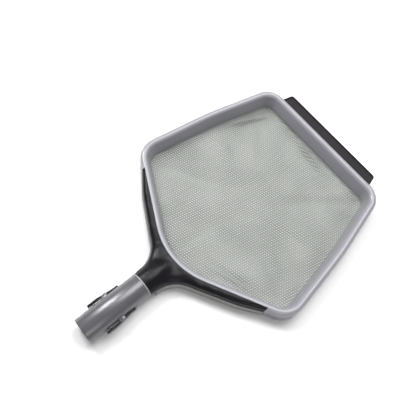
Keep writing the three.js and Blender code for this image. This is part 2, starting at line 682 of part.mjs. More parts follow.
function head() {
  const group = new THREE.Group();
  group.add(piece('rim_frame', rimFrame(), GREY));
  group.add(piece('clamp_ring', clampRing(), GREY));
  group.add(piece('net', net(), NETTING));
  group.add(piece('front_blade', frontBlade(), RUBBER));
  group.add(piece('blade_retainer', bladeRetainer(), BLACK));
  group.add(piece('yoke_top', yokeTop(), BLACK));
  group.add(piece('yoke_base', yokeBase(), CHARCOAL));
  ringScrewPlaces().forEach((place, index) => {
    const mesh = piece(`ring_screw_${index + 1}`, screw(SCREWS.ring, RING_SCREW_LENGTH), STEEL);
    mesh.position.set(place.x, place.y, ringBottom);
    group.add(mesh);
  });
  const bladeFace = BLADE_THICKNESS + RETAINER_THICKNESS + GAP * 3 + SCREWS.blade.headHeight;
  bladeScrewXs.forEach((x, index) => {
    const mesh = piece(`blade_screw_${index + 1}`,
      screw(SCREWS.blade, bladeFace + BLADE_SCREW_REACH), STEEL);
    mesh.position.set(x, bladeFace, retainerZ);
    mesh.rotation.x = Math.PI / 2;
    group.add(mesh);
  });
  lugs.forEach((lug, row) => [1, -1].forEach((s, column) => {
    const length = FRAME_DEPTH - YOKE_DROP - YOKE_WALL - PAST;
    const mesh = piece(`yoke_screw_${row * 2 + column + 1}`, screw(SCREWS.yoke, length), STEEL);
    mesh.position.set(s * lug.x, lug.y, -FRAME_DEPTH + GAP);
    group.add(mesh);
  }));
  handleScrewYs.forEach((y, index) => {
    const length = FRAME_DEPTH + axisZ - spigotRadius + SPIGOT_WALL;
    const mesh = piece(`handle_screw_${index + 1}`, screw(SCREWS.yoke, length), STEEL);
    mesh.position.set(0, y, -FRAME_DEPTH + GAP);
    group.add(mesh);
  });
  return group;
}

function handle() {
  const group = new THREE.Group();
  group.position.set(0, neckY, axisZ);
  group.add(piece('handle_tube', handleTube(), HANDLE_GREY));
  group.add(piece('neck_collar', neckCollar(), PALE));
  [['right', 0], ['left', Math.PI]].forEach(([name, turn]) => {
    const side = new THREE.Group();
    side.rotation.y = turn;
    const arm = piece(`lever_${name}`, lever(), BLACK);
    arm.position.set(pivotX, pivotY, 0);
    const pin = piece(`lever_pin_${name}`, leverPin(), STEEL);
    pin.position.set(pivotX, pivotY, 0);
    const spring = piece(`lever_spring_${name}`, leverSpring(), STEEL);
    spring.position.set(floorX, pivotY - SPRING_BACK, 0);
    side.add(arm, pin, spring);
    group.add(side);
  });
  return group;
}

const skimmer = new THREE.Group();
const layout = new THREE.Group();
layout.add(head(), handle());
layout.position.set(0, -(BLADE_REACH + neckY - HANDLE_LENGTH) / 2, FRAME_DEPTH);
skimmer.add(layout);

export default skimmer;
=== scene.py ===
import bmesh
import bpy
import math
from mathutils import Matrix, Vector, noise


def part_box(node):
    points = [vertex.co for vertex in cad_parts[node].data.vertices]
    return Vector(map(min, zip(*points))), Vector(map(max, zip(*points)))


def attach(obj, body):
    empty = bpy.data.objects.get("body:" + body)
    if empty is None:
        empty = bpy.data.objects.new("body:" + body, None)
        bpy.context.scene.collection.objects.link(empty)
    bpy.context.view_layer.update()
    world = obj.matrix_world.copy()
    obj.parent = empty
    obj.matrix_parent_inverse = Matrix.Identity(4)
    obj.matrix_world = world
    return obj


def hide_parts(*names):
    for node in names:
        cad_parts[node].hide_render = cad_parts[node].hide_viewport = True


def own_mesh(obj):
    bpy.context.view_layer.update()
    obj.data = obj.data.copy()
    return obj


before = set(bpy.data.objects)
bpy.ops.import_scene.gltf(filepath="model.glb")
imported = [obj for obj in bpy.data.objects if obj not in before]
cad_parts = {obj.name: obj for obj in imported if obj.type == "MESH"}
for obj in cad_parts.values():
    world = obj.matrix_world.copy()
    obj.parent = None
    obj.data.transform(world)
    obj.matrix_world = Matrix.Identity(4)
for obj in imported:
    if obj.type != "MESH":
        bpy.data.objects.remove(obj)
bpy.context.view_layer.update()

# ------------------------------------------------------------ sizes

MM = 0.001

# The frame's outline, in millimetres: half widths, and distances back from the leading edge.
LEAD_HALF_WIDTH = 119
BEND_HALF_WIDTH, BEND_BACK = 146, 110
SIDE_HALF_WIDTH, SIDE_BACK = 165.5, 232
BACK_SLOPE = math.tan(math.radians(28))
REBATE = 4                      # step in the rim that the yoke's arms fill
TIP_INSET = 34.5                # from the frame's widest place in to the tip of an arm

# Corners of the frame: across, back from the leading edge, rounding; in millimetres.
FRAME_CORNERS = [
    (-LEAD_HALF_WIDTH, 0, 30), (-BEND_HALF_WIDTH, BEND_BACK, 500),
    (-SIDE_HALF_WIDTH, SIDE_BACK, 36), (0, SIDE_BACK + SIDE_HALF_WIDTH * BACK_SLOPE, 110),
    (SIDE_HALF_WIDTH, SIDE_BACK, 36), (BEND_HALF_WIDTH, BEND_BACK, 500), (LEAD_HALF_WIDTH, 0, 30),
]

CLEARANCE = 0.3                 # between pieces that touch, in millimetres
GAP = CLEARANCE * MM
FRAME_DEPTH = 30 * MM
YOKE_DROP = 1.2 * MM            # of the yoke's roof below the crest, and of its base past its outline
TUBE_RADIUS = 18.5 * MM
SCREW_WELL = 1.9 * MM           # how deep a screw's head is sunk

# How far cutting solids run past the object, in metres: sideways, below and above.
WIDE, UNDER, OVER = 0.05, -0.02, 0.06

# Places that follow the boxes of the pieces.
LEAD_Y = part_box("rim_frame")[1].y
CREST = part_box("clamp_ring")[0].z - GAP + FRAME_DEPTH
TUBE_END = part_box("handle_tube")[0].y
collar_low, collar_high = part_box("neck_collar")
AXIS_Z = (collar_low.z + collar_high.z) / 2
NECK_Y = collar_high.y + GAP
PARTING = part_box("yoke_top")[0].z
YOKE_ROOF = CREST - YOKE_DROP
ARM_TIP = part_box("yoke_top")[1].x
ARM_TIP_Y = LEAD_Y - (SIDE_BACK + TIP_INSET * BACK_SLOPE) * MM
NET_LOW, NET_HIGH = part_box("net")[0].z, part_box("net")[1].z


# ------------------------------------------------------------ shaping

def deselect_all():
    if bpy.context.object and bpy.context.object.mode != "OBJECT":
        bpy.ops.object.mode_set(mode="OBJECT")
    bpy.ops.object.select_all(action="DESELECT")


def pick(obj):
    deselect_all()
    obj.select_set(True)
    bpy.context.view_layer.objects.active = obj
    return obj


def edit(obj, part="VERT"):
    pick(obj)
    bpy.ops.object.mode_set(mode="EDIT")
    bpy.ops.mesh.select_mode(type=part)
    bpy.ops.mesh.select_all(action="DESELECT")


def done():
    bpy.ops.object.mode_set(mode="OBJECT")


def select_where(obj, test):
    """Selects the vertices, edges or faces of obj whose middle passes the test; in edit mode."""
    mesh = bmesh.from_edit_mesh(obj.data)
    vert, edge, face = bpy.context.tool_settings.mesh_select_mode
    if face:
        for f in mesh.faces:
            f.select_set(test(f.calc_center_median(), f.normal))
    elif edge:
        for e in mesh.edges:
            e.select_set(test((e.verts[0].co + e.verts[1].co) / 2, e.verts[1].co - e.verts[0].co))
    else:
        for v in mesh.verts:
            v.select_set(test(v.co, v.normal))
    mesh.select_flush_mode()
    bmesh.update_edit_mesh(obj.data)


def settle(obj):
    """Puts the object's place in its mesh."""
    pick(obj)
    bpy.ops.object.transform_apply(location=True, rotation=True, scale=True)
    return obj


def mend(obj):
    """Merges doubles and turns every face outwards."""
    edit(obj)
    bpy.ops.mesh.select_all(action="SELECT")
    bpy.ops.mesh.remove_doubles(threshold=0.00001)
    bpy.ops.mesh.normals_make_consistent(inside=False)
    done()
    return obj


def modify(obj, kind, **settings):
    pick(obj)
    modifier = obj.modifiers.new(kind.lower(), kind)
    for key, value in settings.items():
        setattr(modifier, key, value)
    bpy.ops.object.modifier_apply(modifier=modifier.name)
    return obj


def ease(obj, width, segments=2, angle=35):
    """Rounds the sharp edges."""
    return modify(obj, "BEVEL", width=width, segments=segments, limit_method="ANGLE",
                  angle_limit=math.radians(angle), use_clamp_overlap=True, harden_normals=False)


def cut(obj, tool, how="DIFFERENCE"):
    """Cuts the tool from obj, or joins it on with UNION; the tool is used up."""
    modify(obj, "BOOLEAN", operation=how, solver="EXACT", object=tool)
    bpy.data.objects.remove(tool)
    return obj


def join(pieces):
    deselect_all()
    for piece in pieces:
        piece.select_set(True)
    bpy.context.view_layer.objects.active = pieces[0]
    bpy.ops.object.join()
    return pieces[0]


def smooth(obj, angle=38):
    pick(obj)
    bpy.ops.object.shade_smooth_by_angle(angle=math.radians(angle))
    return obj


def bar(name, low, high):
    """A rectangular bar between two corners."""
    deselect_all()
    low, high = Vector(low), Vector(high)
    bpy.ops.mesh.primitive_cube_add(size=1, location=(low + high) / 2)
    obj = bpy.context.object
    obj.name = name
    obj.scale = high - low
    return settle(obj)


def rod(name, radius, start, end, sides=64, radius_end=None):
    """A round rod or cone between two points."""
    deselect_all()
    start, end = Vector(start), Vector(end)
    along = end - start
    bpy.ops.mesh.primitive_cone_add(
        vertices=sides, radius1=radius, radius2=radius if radius_end is None else radius_end,
        depth=along.length, location=(start + end) / 2,
        rotation=along.to_track_quat("Z", "Y").to_euler())
    obj = bpy.context.object
    obj.name = name
    return settle(obj)


# ------------------------------------------------------------ lines that bend round corners

def corner_line(name, corners, inset=0.0, height=0.0, smoothness=14):
    """A closed flat curve through rounded corners, counterclockwise, moved inwards by inset.
    Corners are (x, y, rounding) in metres."""
    curve = bpy.data.curves.new(name, "CURVE")
    curve.dimensions = "2D"
    curve.resolution_u = smoothness
    spline = curve.splines.new("BEZIER")
    spline.use_cyclic_u = True
    knots = []
    for i, (x, y, rounding) in enumerate(corners):
        here = Vector((x, y))
        before = Vector(corners[i - 1][:2])
        after = Vector(corners[(i + 1) % len(corners)][:2])
        arrive, leave = (here - before).normalized(), (after - here).normalized()
        turn = math.atan2(arrive.x * leave.y - arrive.y * leave.x, arrive.dot(leave))
        side = 1 if turn > 0 else -1
        half = math.tan(abs(turn) / 2)
        inward_in, inward_out = Vector((-arrive.y, arrive.x)), Vector((-leave.y, leave.x))
        reach = rounding * half
        radius = max(rounding - side * inset, 0.0)
        pull = 4 / 3 * math.tan(abs(turn) / 4) * radius
        if rounding == 0:
            place = here + inward_in * inset - arrive * (side * inset * half)
            knots.append((place, Vector((0, 0)), Vector((0, 0))))
            continue
        knots.append((here - arrive * reach + inward_in * inset, Vector((0, 0)), arrive * pull))
        knots.append((here + leave * reach + inward_out * inset, -leave * pull, Vector((0, 0))))
    spline.bezier_points.add(len(knots) - 1)
    for point, (place, back, ahead) in zip(spline.bezier_points, knots):
        point.handle_left_type = point.handle_right_type = "FREE"
        point.co = (place.x, place.y, 0)
        point.handle_left = (place.x + back.x, place.y + back.y, 0)
        point.handle_right = (place.x + ahead.x, place.y + ahead.y, 0)
    obj = bpy.data.objects.new(name, curve)
    bpy.context.collection.objects.link(obj)
    obj.location.z = height
    return obj


def frame_corners():
    return [(x * MM, LEAD_Y - back * MM, r * MM) for x, back, r in FRAME_CORNERS]


def section_line(name, points):
    """A closed section to sweep: (inwards from the frame's outside, height) in millimetres."""
    curve = bpy.data.curves.new(name, "CURVE")
    curve.dimensions = "2D"
    spline = curve.splines.new("POLY")
    spline.use_cyclic_u = True
    spline.points.add(len(points) - 1)
    for point, (u, z) in zip(spline.points, points):
        point.co = (u * MM, z * MM, 0, 1)
    obj = bpy.data.objects.new(name, curve)
    bpy.context.collection.objects.link(obj)
    return obj


def bend_of(middle_u, middle_z, radius, start, end, steps):
    """Points of an arc in a section, angles from the inward direction, in degrees."""
    points = []
    for i in range(steps + 1):
        angle = math.radians(start + (end - start) * i / steps)
        points.append((middle_u + radius * math.cos(angle), middle_z + radius * math.sin(angle)))
    return points


def sweep(name, line, section):
    line.data.bevel_mode = "OBJECT"
    line.data.bevel_object = section
    pick(line)
    bpy.ops.object.convert(target="MESH")
    line.name = name
    bpy.data.objects.remove(section)
    return mend(settle(line))


def plate(name, line, low, high, edge=0.0, steps=4):
    """The area inside a line, made solid between two heights, its edges rounded."""
    line.data.fill_mode = "BOTH"
    line.data.extrude = (high - low) / 2 - edge
    line.data.bevel_depth = edge
    line.data.bevel_resolution = steps
    line.data.offset = -edge
    line.location.z = (low + high) / 2
    pick(line)
    bpy.ops.object.convert(target="MESH")
    line.name = name
    return mend(settle(line))


# ------------------------------------------------------------ finishes

def finish(name, colour, rough, patchy=0.08, grain=2600.0, grain_depth=0.06, wear=0.25,
           wear_colour=None, coat=0.0, metal=0.0, specular=0.5, waves=0.0, gloss_range=0.05):
    """A moulded or drawn surface: fine grain, faint uneven colour, rubbed edges and soft waves."""
    material = bpy.data.materials.new(name)
    material.use_nodes = True
    nodes, links = material.node_tree.nodes, material.node_tree.links
    shader = nodes["Principled BSDF"]
    place = nodes.new("ShaderNodeTexCoord")

    clouds = nodes.new("ShaderNodeTexNoise")
    clouds.inputs["Scale"].default_value = 26
    clouds.inputs["Detail"].default_value = 5
    links.new(place.outputs["Object"], clouds.inputs["Vector"])

    tint = nodes.new("ShaderNodeValToRGB")
    tint.color_ramp.elements[0].position = 0.3
    tint.color_ramp.elements[1].position = 0.7
    tint.color_ramp.elements[0].color = (*[c * (1 - patchy) for c in colour], 1)
    tint.color_ramp.elements[1].color = (*[min(1, c * (1 + patchy)) for c in colour], 1)
    links.new(clouds.outputs["Fac"], tint.inputs["Fac"])

    edges = nodes.new("ShaderNodeNewGeometry")
    rubbed = nodes.new("ShaderNodeValToRGB")
    rubbed.color_ramp.elements[0].position = 0.53
    rubbed.color_ramp.elements[1].position = 0.62
    rubbed.color_ramp.elements[0].color = (0, 0, 0, 1)
    rubbed.color_ramp.elements[1].color = (wear, wear, wear, 1)
    links.new(edges.outputs["Pointiness"], rubbed.inputs["Fac"])
    mix = nodes.new("ShaderNodeMix")
    mix.data_type = "RGBA"
    mix.inputs["B"].default_value = (*(wear_colour or [min(1, c * 1.7 + 0.03) for c in colour]), 1)
    links.new(rubbed.outputs["Color"], mix.inputs["Factor"])
    links.new(tint.outputs["Color"], mix.inputs["A"])
    links.new(mix.outputs["Result"], shader.inputs["Base Color"])

    gloss = nodes.new("ShaderNodeMapRange")
    gloss.inputs["To Min"].default_value = rough - gloss_range
    gloss.inputs["To Max"].default_value = rough + gloss_range
    links.new(clouds.outputs["Fac"], gloss.inputs["Value"])
    links.new(gloss.outputs["Result"], shader.inputs["Roughness"])

    fine = nodes.new("ShaderNodeTexNoise")
    fine.inputs["Scale"].default_value = grain
    fine.inputs["Detail"].default_value = 2
    links.new(place.outputs["Object"], fine.inputs["Vector"])
    bump = nodes.new("ShaderNodeBump")
    bump.inputs["Strength"].default_value = grain_depth
    bump.inputs["Distance"].default_value = 0.0003
    links.new(fine.outputs["Fac"], bump.inputs["Height"])
    links.new(bump.outputs["Normal"], shader.inputs["Normal"])
    if waves:
        swell = nodes.new("ShaderNodeTexNoise")
        swell.inputs["Scale"].default_value = 95
        swell.inputs["Detail"].default_value = 1
        links.new(place.outputs["Object"], swell.inputs["Vector"])
        soft = nodes.new("ShaderNodeBump")
        soft.inputs["Strength"].default_value = waves
        soft.inputs["Distance"].default_value = 0.003
        links.new(swell.outputs["Fac"], soft.inputs["Height"])
        links.new(soft.outputs["Normal"], bump.inputs["Normal"])

    shader.inputs["Metallic"].default_value = metal
    shader.inputs["Coat Weight"].default_value = coat
    shader.inputs["Coat Roughness"].default_value = 0.25
    shader.inputs["Specular IOR Level"].default_value = specular
    return material


def netting_finish():
    """Twisted polyester yarn, pale grey green, with fine ribs across each strand."""
    material = bpy.data.materials.new("net_yarn")
    material.use_nodes = True
    nodes, links = material.node_tree.nodes, material.node_tree.links
    shader = nodes["Principled BSDF"]
    place = nodes.new("ShaderNodeTexCoord")
    clouds = nodes.new("ShaderNodeTexNoise")
    clouds.inputs["Scale"].default_value = 22
    links.new(place.outputs["Object"], clouds.inputs["Vector"])
    tint = nodes.new("ShaderNodeValToRGB")
    tint.color_ramp.elements[0].position = 0.3
    tint.color_ramp.elements[1].position = 0.7
    tint.color_ramp.elements[0].color = (0.245, 0.260, 0.240, 1)
    tint.color_ramp.elements[1].color = (0.345, 0.360, 0.338, 1)
    links.new(clouds.outputs["Fac"], tint.inputs["Fac"])
    links.new(tint.outputs["Color"], shader.inputs["Base Color"])
    ribs = nodes.new("ShaderNodeTexWave")
    ribs.inputs["Scale"].default_value = 420
    ribs.inputs["Distortion"].default_value = 1.5
    links.new(place.outputs["Object"], ribs.inputs["Vector"])
    bump = nodes.new("ShaderNodeBump")
    bump.inputs["Strength"].default_value = 0.4
    bump.inputs["Distance"].default_value = 0.0002
    links.new(ribs.outputs["Fac"], bump.inputs["Height"])
    links.new(bump.outputs["Normal"], shader.inputs["Normal"])
    shader.inputs["Roughness"].default_value = 0.75
    shader.inputs["Sheen Weight"].default_value = 0.15
    return material


frame_grey = finish("frame_grey", (0.286, 0.281, 0.312), 0.25, patchy=0.03, grain=1900,
                    grain_depth=0.05, gloss_range=0.015)
handle_grey = finish("handle_grey", (0.088, 0.086, 0.096), 0.3, patchy=0.05, grain=1500,
                     grain_depth=0.03, coat=0.5)
yoke_black = finish("yoke_black", (0.007, 0.006, 0.008), 0.32, patchy=0.25, grain=1300,
                    grain_depth=0.12, wear=0.2, wear_colour=(0.05, 0.05, 0.05), specular=0.17,
                    waves=0.28)
# Yoke base colour: its own dark grey, made lighter with a painted reflection so that the band below
# the black top looks lit by the floor and the key light.
base_grey_and_painted_reflection = finish("base_grey_and_painted_reflection", (0.220, 0.222, 0.214), 0.5, patchy=0.08, grain=1600,
                       grain_depth=0.12, specular=0.35)
lever_black = finish("lever_black", (0.008, 0.008, 0.009), 0.34, patchy=0.2, grain=1500,
                     grain_depth=0.08, wear=0.1, wear_colour=(0.04, 0.04, 0.04), specular=0.2)
blade_rubber = finish("blade_rubber", (0.020, 0.018, 0.021), 0.7, patchy=0.15, grain=1100,
                      grain_depth=0.2, wear=0.3, wear_colour=(0.07, 0.07, 0.07), specular=0.2)
collar_pale = finish("collar_pale", (0.36, 0.36, 0.36), 0.4, patchy=0.03, grain=1800,
                     grain_depth=0.05)
screw_steel = finish("screw_steel", (0.55, 0.55, 0.56), 0.3, patchy=0.12, grain=900,
                     grain_depth=0.1, metal=1.0)
pin_steel = finish("pin_steel", (0.10, 0.10, 0.105), 0.38, patchy=0.15, grain=1200,
                   grain_depth=0.08, metal=1.0)
net_yarn = netting_finish()


def put(obj, material, body, slot, *nodes):
    """Gives a finished piece its finish and its body, and hides the pieces that it stands for."""
    obj.data.materials.clear()
    obj.data.materials.append(material)
    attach(obj, body)
    if nodes:
        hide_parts(*nodes)
    return obj


# ------------------------------------------------------------ frame

def rebate_cutter(extra):
    """What is cut from the frame's near side so that the yoke's arms lie flush in it, as deep as
    the rebate and extra millimetres more."""
    reach = ARM_TIP + GAP
    block = bar("rebate_cut", (-reach, LEAD_Y - 0.42, UNDER), (reach, ARM_TIP_Y + 8 * MM, OVER))
    keep_line = corner_line("rebate_keep", frame_corners(), (REBATE + extra) * MM)
    inside = plate("rebate_keep", keep_line, -0.03, 0.07)
    return cut(block, inside)


def rim():
    section = [(0.4, 0.0), (0.0, 0.4)]
    section += bend_of(5.2, 24.8, 5.2, 180, 96, 9)
    section += bend_of(5.4, 24.2, 5.8, 88, 15, 11)
    section += [(12.7, 20.6), (14.2, 14.8), (15.2, 10.2)]
    section += bend_of(15.3, 7.1, 0.6, 12, -90, 3)
    section += [(6.6, 6.5), (2.6, 6.5), (2.6, 0.3), (2.3, 0.0)]
    swept = sweep("rim_shell", corner_line("rim_line", frame_corners()),
                  section_line("rim_section", section))
    cut(swept, rebate_cutter(0))
    smooth(swept, 50)
    return put(swept, frame_grey, "skimmer", "frame_plastic", "rim_frame")


def well(place, radius, sides):
    """What is cut away for a screw's head, upwards from the underside."""
    return rod("well", radius, place - Vector((0, 0, MM)), place + Vector((0, 0, SCREW_WELL)), sides)


def clamp_ring():
    section = [(3.3, 0.3), (2.9, 0.7), (2.9, 5.1), (16.0, 5.1), (16.0, 1.1)]
    section += bend_of(15.2, 1.1, 0.8, 0, -90, 3)[1:]
    ring = sweep("clamp_ring_shell", corner_line("ring_line", frame_corners()),
                 section_line("ring_section", section))
    cut(ring, rebate_cutter(CLEARANCE))
    for place in SCREW_PLACES["ring"]:
        cut(ring, well(place, 2.45 * MM, 24))
    smooth(ring, 40)
    return put(ring, frame_grey, "skimmer", "frame_plastic", "clamp_ring")


# ------------------------------------------------------------ net

NET_INSET = 13.4 * MM           # from the frame's outside in to the edge of the net
NET_HELD = 2.6 * MM             # of net held under the inner wall
NET_MIDDLE = Vector((0, LEAD_Y - 150 * MM))
PITCH, STRAND = 3.7 * MM, 1.5 * MM
YARN_THICKNESS = 0.7 * MM
CELLS = 136                     # along each side of the sheet before it is trimmed
SHEET_AHEAD = 62 * MM           # the sheet is made at the origin and moved under the frame

SAG, SAG_REACH = 1.2 * MM, 60 * MM
LOWEST_DENT = -5.0 * MM
EASED = 10 * MM                 # folds fade out this near to the frame
RIDGE, VALLEY, CORNER_FOLD_WIDTH = 4.4 * MM, -3.4 * MM, 9 * MM
CORNER_FOLD_PLACE = 0.42        # of the way from a corner to the net's middle
CORNER_FOLD_LENGTH = 0.25       # of the same distance
CREASE_INSET = 27 * MM          # from a wall to the crease beside it
CREASE_LEAN = 0.15
CREASE_LENGTH, CREASE_WIDTH, CREASE_RISE = 30 * MM, 3 * MM, 4.2 * MM
DENT_INSET = 6 * MM             # from a crease to its dent
DENT_LENGTH, DENT_WIDTH, DENT_RISE = 28 * MM, 5 * MM, -3.0 * MM

# Slow unevenness all over: waves in a metre, depth, and which sample of the noise.
RIPPLES = ((14, 4.5 * MM, 5.2), (24, 1.6 * MM, 0.7), (60, 0.6 * MM, 3.1))


def net_folds():
    """Folds of the slack net: one from each corner of the frame towards the middle, up and down by
    turns, and a crease with a dent beside it that leaves each of three walls. Each fold is its
    middle, its direction, its length and width, and how high it stands."""
    folds = []
    corners = [Vector((x, y)) for x, y, rounding in frame_corners()]
    for i, corner in enumerate(corners):
        inwards = NET_MIDDLE - corner
        height = RIDGE if i % 2 else VALLEY
        folds.append((corner + inwards * CORNER_FOLD_PLACE, inwards.normalized(),
                      inwards.length * CORNER_FOLD_LENGTH, CORNER_FOLD_WIDTH, height))
    left, apex, front = 0, 3, len(corners) - 1
    for first in (left, apex, front):
        here, after = corners[first], corners[(first + 1) % len(corners)]
        wall = (after - here).normalized()
        inside = Vector((-wall.y, wall.x))
        leaving = (wall - inside * CREASE_LEAN).normalized()
        middle = (here + after) / 2 + inside * CREASE_INSET
        folds.append((middle, leaving, CREASE_LENGTH, CREASE_WIDTH, CREASE_RISE))
        folds.append((middle + inside * DENT_INSET, leaving, DENT_LENGTH, DENT_WIDTH, DENT_RISE))
    return folds


def net_height(x, y, edge, folds):
    """How far the slack net stands above its seat; edge is the distance to the frame."""
    height = -SAG * min(1.0, edge / SAG_REACH)
    for middle, along, length, width, rise in folds:
        dx, dy = x - middle.x, y - middle.y
        run = (dx * along.x + dy * along.y) / length
        across = (dy * along.x - dx * along.y) / width
        height += rise * math.exp(-run * run - across * across)
    for scale, depth, layer in RIPPLES:
        height += noise.noise(Vector((x * scale, y * scale, layer))) * depth
    return max(LOWEST_DENT, height) * min(1.0, edge / EASED)


def net():
    inner = corner_line("net_edge", frame_corners(), NET_INSET, smoothness=5)
    pick(inner)
    bpy.ops.object.convert(target="MESH")
    border = [v.co.copy() for v in inner.data.vertices]
    bpy.data.objects.remove(inner)

    deselect_all()
    bpy.ops.mesh.primitive_grid_add(
        x_subdivisions=CELLS, y_subdivisions=CELLS, size=CELLS * PITCH,
        location=(0, 0, (NET_LOW + NET_HIGH) / 2), rotation=(0, 0, math.radians(45)))
    sheet = settle(bpy.context.object)
    sheet.name = "net_sheet"
    edit(sheet)
    bpy.ops.mesh.select_all(action="SELECT")
    bpy.ops.transform.resize(value=(1.15, 0.75, 1), center_override=(0, 0, 0))
    bpy.ops.transform.rotate(value=math.radians(-44), orient_axis="Z", center_override=(0, 0, 0))
    bpy.ops.transform.translate(value=(0, SHEET_AHEAD, 0))
    walls = [(here, after - here) for here, after in zip(border, border[1:] + border[:1])
             if (after - here).length > 1e-6]
    for here, along in walls:
        bpy.ops.mesh.select_all(action="SELECT")
        bpy.ops.mesh.bisect(plane_co=here, plane_no=(along.y, -along.x, 0), clear_outer=True)
    bpy.ops.mesh.select_all(action="SELECT")
    bpy.ops.mesh.remove_doubles(threshold=0.0004)
    bpy.ops.mesh.select_mode(type="FACE")
    bpy.ops.mesh.select_all(action="SELECT")
    bpy.ops.mesh.inset(thickness=STRAND / 2, use_individual=True, use_even_offset=True)
    bpy.ops.mesh.delete(type="FACE")
    done()
    modify(sheet, "SOLIDIFY", thickness=YARN_THICKNESS, offset=0.0, use_even_offset=False)
    sides = [(here, along.normalized()) for here, along in walls]
    folds = net_folds()
    for vertex in sheet.data.vertices:
        edge = min((vertex.co.y - here.y) * along.x - (vertex.co.x - here.x) * along.y
                   for here, along in sides)
        vertex.co.z += net_height(vertex.co.x, vertex.co.y, max(0.0, edge - NET_HELD), folds)
    put(sheet, net_yarn, "skimmer", "netting", "net")
    return sheet


# ------------------------------------------------------------ blade

BLADE_LOW, BLADE_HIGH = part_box("front_blade")
BLADE_CORNER = 5 * MM
RIB_PITCH = 4                   # in millimetres


def blade():
    half, tip = BLADE_HIGH.x, BLADE_HIGH.y
    root, top = LEAD_Y + GAP, BLADE_HIGH.z
    corners = [(-half, root, 0), (half, root, 0),
               (half - BLADE_CORNER, tip, BLADE_CORNER), (-half + BLADE_CORNER, tip, BLADE_CORNER)]
    lip = plate("blade_flap", corner_line("blade_line", corners, smoothness=8),
                top - 2 * MM, top - 0.35 * MM, 0.5 * MM, 3)
    flange = bar("blade_foot", (-half, root, BLADE_LOW.z),
                 (half, LEAD_Y + 2.3 * MM, top - 0.35 * MM))
    cut(lip, flange, "UNION")
    bead = corner_line("bead_line", corners, 1.1 * MM, top - 0.75 * MM, smoothness=8)
    bead.data.bevel_depth = 0.75 * MM
    bead.data.bevel_resolution = 3
    pick(bead)
    bpy.ops.object.convert(target="MESH")
    bead = mend(settle(bead))
    cut(bead, bar("bead_trim", (-1, LEAD_Y - 0.01, -1), (1, root, 1)))
    cut(lip, bead, "UNION")
    ribs = []
    for i in range(3):
        y = LEAD_Y + (6.5 + i * RIB_PITCH) * MM
        ribs.append(rod("rib", 0.32 * MM, (-half + 4.5 * MM, y, top - 0.42 * MM),
                        (half - 4.5 * MM, y, top - 0.42 * MM), 12))
    cut(lip, join(ribs), "UNION")
    smooth(lip, 35)
    return put(lip, blade_rubber, "skimmer", "blade_rubber", "front_blade")


def retainer():
    low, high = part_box("blade_retainer")
    strip = bar("retainer_strip", low, high)
    for place in SCREW_PLACES["blade"]:
        start, end = (place.x, low.y - MM, place.z), (place.x, high.y + MM, place.z)
        cut(strip, rod("hole", 1.8 * MM, start, end, 24))
    ease(strip, 0.5 * MM, 3)
    smooth(strip)
    return put(strip, yoke_black, "skimmer", "black_plastic", "blade_retainer")


# ------------------------------------------------------------ yoke

ARM_SLOPE = math.tan(math.radians(31.5))
BOW_PLACE, BOW, BOW_RADIUS = 102 * MM, 3.8 * MM, 140 * MM
YOKE_OVERRUN = 18 * MM          # how far the outline runs on past the tips before it is cut
YOKE_TUCK = 24 * MM             # and in under the rim
NECK_FILLET = 43 * MM
CONE_LENGTH = 27 * MM           # of the blend from the round neck into the flat top


def arm_edge(x):
    """Where an arm's straight outer edge would lie, before it is bowed."""
    return ARM_TIP_Y - (ARM_TIP - x) * ARM_SLOPE


def yoke_corners():
    bow_y = arm_edge(BOW_PLACE) - BOW
    far_x = ARM_TIP + YOKE_OVERRUN
    far_y = ARM_TIP_Y + YOKE_OVERRUN * (ARM_TIP_Y - bow_y) / (ARM_TIP - BOW_PLACE)
    neck_end, neck_y = NECK_Y - 30 * MM, arm_edge(TUBE_RADIUS)
    return [
        (-TUBE_RADIUS, neck_end, 0), (TUBE_RADIUS, neck_end, 0),
        (TUBE_RADIUS, neck_y, NECK_FILLET), (BOW_PLACE, bow_y, BOW_RADIUS), (far_x, far_y, 0),
        (far_x, far_y + YOKE_TUCK, 0), (0, ARM_TIP_Y - 22 * MM, 0),
        (-far_x, far_y + YOKE_TUCK, 0), (-far_x, far_y, 0), (-BOW_PLACE, bow_y, BOW_RADIUS),
        (-TUBE_RADIUS, neck_y, NECK_FILLET),
    ]


def trim_yoke(form, low, high):
    """Cuts a yoke half to its ends, its parting plane and the frame that it lies against."""
    ends = (((ARM_TIP, 0, 0), (1, 0, 0)), ((-ARM_TIP, 0, 0), (-1, 0, 0)),
            ((0, NECK_Y, 0), (0, -1, 0)), ((0, 0, low), (0, 0, -1)), ((0, 0, high), (0, 0, 1)))
    for place, away in ends:
        edit(form)
        bpy.ops.mesh.select_all(action="SELECT")
        bpy.ops.mesh.bisect(plane_co=place, plane_no=away, clear_outer=True, use_fill=True)
        done()
    line = corner_line("ground_line", frame_corners(), (REBATE - CLEARANCE) * MM)
    return cut(form, plate("frame_ground", line, -0.02, 0.08))


def soften(form, voxel, passes, where):
    """Melts the joined forms into one smooth skin, most of all where the test holds."""
    modify(form, "REMESH", mode="VOXEL", voxel_size=voxel)
    modify(form, "SMOOTH", factor=0.5, iterations=4)
    group = form.vertex_groups.new(name="melt")
    for vertex in form.data.vertices:
        weight = where(vertex.co)
        if weight > 0:
            group.add([vertex.index], weight, "REPLACE")
    modify(form, "SMOOTH", factor=0.6, iterations=passes, vertex_group="melt")
    form.vertex_groups.clear()
    return form


def near_neck(place):
    """1 where the neck blends into the arms, falling to 0 along the arms and at the neck's end."""
    across = min(1.0, max(0.0, (0.05 - abs(place.x)) / 0.02))
    return across * min(1.0, max(0.0, (place.y - NECK_Y - 6 * MM) / (20 * MM)))


